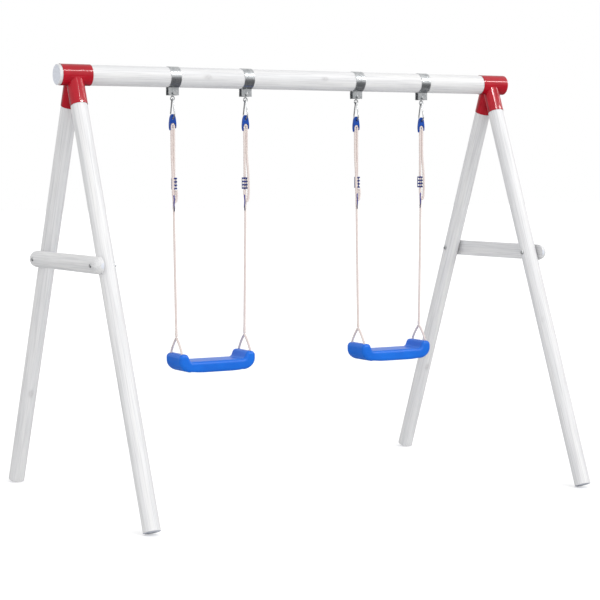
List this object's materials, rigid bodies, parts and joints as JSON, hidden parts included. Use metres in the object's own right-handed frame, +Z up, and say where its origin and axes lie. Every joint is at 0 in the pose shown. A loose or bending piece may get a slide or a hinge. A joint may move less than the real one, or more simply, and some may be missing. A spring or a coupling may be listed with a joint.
{
  "type": "swing set",
  "caption": "Garden swing set: round beam on two A-frames, with rope swings hung from strap clamps and moulded seats that swing and tilt.",
  "frame": {"origin": "on the floor, under the middle of the beam", "axes": "+X along the beam to the right, +Y to the back, +Z up"},
  "size_m": [2.624, 1.7496, 2.1476],
  "materials": {
    "white_painted_wood": "satin",
    "red_enamelled_steel": "gloss",
    "galvanised_steel": "satin",
    "rope": "matte",
    "dark_blue_plastic": "satin",
    "navy_plastic": "satin",
    "purple_blue_tape": "matte",
    "blue_plastic": "satin"
  },
  "bodies": {
    "frame": {"top_beam": "white_painted_wood", "leg_front_left": "white_painted_wood", "leg_rear_left": "white_painted_wood", "crossbar_left": "white_painted_wood", "crossbar_bolts_left": "galvanised_steel", "crossbar_nuts_left": "galvanised_steel", "corner_bracket_left": "red_enamelled_steel", "leg_front_right": "white_painted_wood", "leg_rear_right": "white_painted_wood", "crossbar_right": "white_painted_wood", "crossbar_bolts_right": "galvanised_steel", "crossbar_nuts_right": "galvanised_steel", "corner_bracket_right": "red_enamelled_steel", "strap_1": "galvanised_steel", "strap_bolt_1": "galvanised_steel", "strap_nut_1": "galvanised_steel", "swivel_eye_1": "galvanised_steel", "strap_2": "galvanised_steel", "strap_bolt_2": "galvanised_steel", "strap_nut_2": "galvanised_steel", "swivel_eye_2": "galvanised_steel", "strap_3": "galvanised_steel", "strap_bolt_3": "galvanised_steel", "strap_nut_3": "galvanised_steel", "swivel_eye_3": "galvanised_steel", "strap_4": "galvanised_steel", "strap_bolt_4": "galvanised_steel", "strap_nut_4": "galvanised_steel", "swivel_eye_4": "galvanised_steel"},
    "left_swing": {"pear_link_1": "galvanised_steel", "rope_fitting_1": "dark_blue_plastic", "hanging_rope_1": "rope", "adjuster_1": "navy_plastic", "marker_tape_1": "purple_blue_tape", "pear_link_2": "galvanised_steel", "rope_fitting_2": "dark_blue_plastic", "hanging_rope_2": "rope", "adjuster_2": "navy_plastic", "marker_tape_2": "purple_blue_tape"},
    "left_seat": {"seat_left": "blue_plastic", "seat_knots_left": "rope", "yoke_rope_1": "rope", "yoke_rope_2": "rope"},
    "right_swing": {"pear_link_3": "galvanised_steel", "rope_fitting_3": "dark_blue_plastic", "hanging_rope_3": "rope", "adjuster_3": "navy_plastic", "marker_tape_3": "purple_blue_tape", "pear_link_4": "galvanised_steel", "rope_fitting_4": "dark_blue_plastic", "hanging_rope_4": "rope", "adjuster_4": "navy_plastic", "marker_tape_4": "purple_blue_tape"},
    "right_seat": {"seat_right": "blue_plastic", "seat_knots_right": "rope", "yoke_rope_3": "rope", "yoke_rope_4": "rope"}
  },
  "joints": [
    {"name": "left_swing_hinge", "type": "hinge", "parent": "frame", "child": "left_swing", "pos_m": [-0.4935, 0, 1.981], "axis": [1, 0, 0], "range_deg": [-50, 50]},
    {"name": "right_swing_hinge", "type": "hinge", "parent": "frame", "child": "right_swing", "pos_m": [0.572, 0, 1.981], "axis": [1, 0, 0], "range_deg": [-50, 50]},
    {"name": "left_seat_tilt", "type": "hinge", "parent": "left_swing", "child": "left_seat", "pos_m": [-0.4935, 0, 0.7874], "axis": [1, 0, 0], "range_deg": [-20, 20]},
    {"name": "right_seat_tilt", "type": "hinge", "parent": "right_swing", "child": "right_seat", "pos_m": [0.572, 0, 0.7874], "axis": [1, 0, 0], "range_deg": [-20, 20]}
  ]
}
